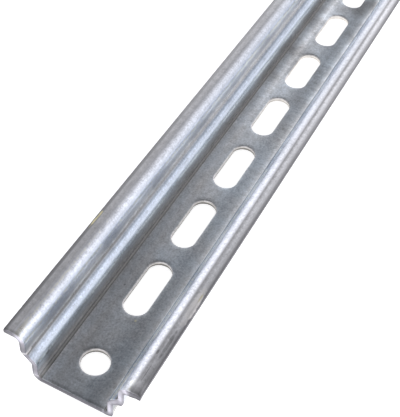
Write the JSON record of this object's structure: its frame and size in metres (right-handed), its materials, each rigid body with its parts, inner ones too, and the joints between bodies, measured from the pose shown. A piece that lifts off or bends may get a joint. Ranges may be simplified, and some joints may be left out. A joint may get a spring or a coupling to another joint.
{
  "type": "din rail",
  "caption": "Deep top-hat mounting rail with stepped side walls and a slotted web, which carries clip-on electrical devices.",
  "frame": {"origin": "middle of the web's underside, half way along the rail", "axes": "+X along the rail, away from the end where the row of slots starts; +Y across it; +Z out of the channel, from the web towards the flanges"},
  "size_m": [0.5, 0.035, 0.015],
  "materials": {
    "zinc_steel": "galvanised, satin"
  },
  "bodies": {
    "root": {"din_rail": "zinc_steel"}
  },
  "joints": []
}
